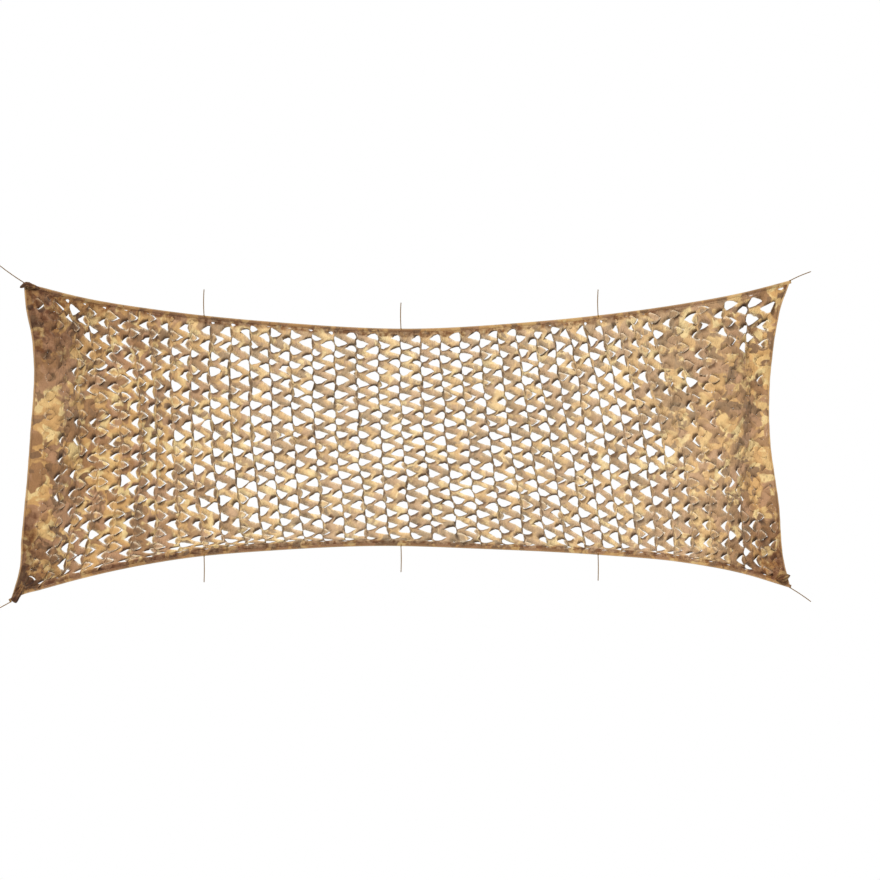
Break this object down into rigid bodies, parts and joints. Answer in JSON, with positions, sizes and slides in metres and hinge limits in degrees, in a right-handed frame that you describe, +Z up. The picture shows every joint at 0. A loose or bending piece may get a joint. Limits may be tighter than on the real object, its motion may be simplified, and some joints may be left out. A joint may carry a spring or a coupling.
{
  "type": "camouflage netting",
  "caption": "Leaf-cut camouflage netting stretched upright, with bound edges, inward-curving sides and short cord ties at its corners and along its long edges.",
  "frame": {"origin": "the middle of the top edge, at its lowest point between the two top corners", "axes": "+Z up, +X along the netting's length, the netting's face towards -Y"},
  "size_m": [8.9368, 0.1588, 3.2993],
  "materials": {
    "net_cloth": "matte printed cloth in blotches of tan, ochre, brown and mauve brown, with pale cut edges",
    "edge_tape": "matte dark brown folded edge tape",
    "tie_cord": "matte pale twisted cord"
  },
  "bodies": {
    "root": {"net_panel": "net_cloth", "edge_top": "edge_tape", "edge_bottom": "edge_tape", "edge_left": "edge_tape", "edge_right": "edge_tape", "tie_top_1": "tie_cord", "tie_top_2": "tie_cord", "tie_top_3": "tie_cord", "tie_bottom_1": "tie_cord", "tie_bottom_2": "tie_cord", "tie_bottom_3": "tie_cord", "tie_corner_top_left": "tie_cord", "tie_corner_top_right": "tie_cord", "tie_corner_bottom_left": "tie_cord", "tie_corner_bottom_right": "tie_cord"}
  },
  "joints": []
}
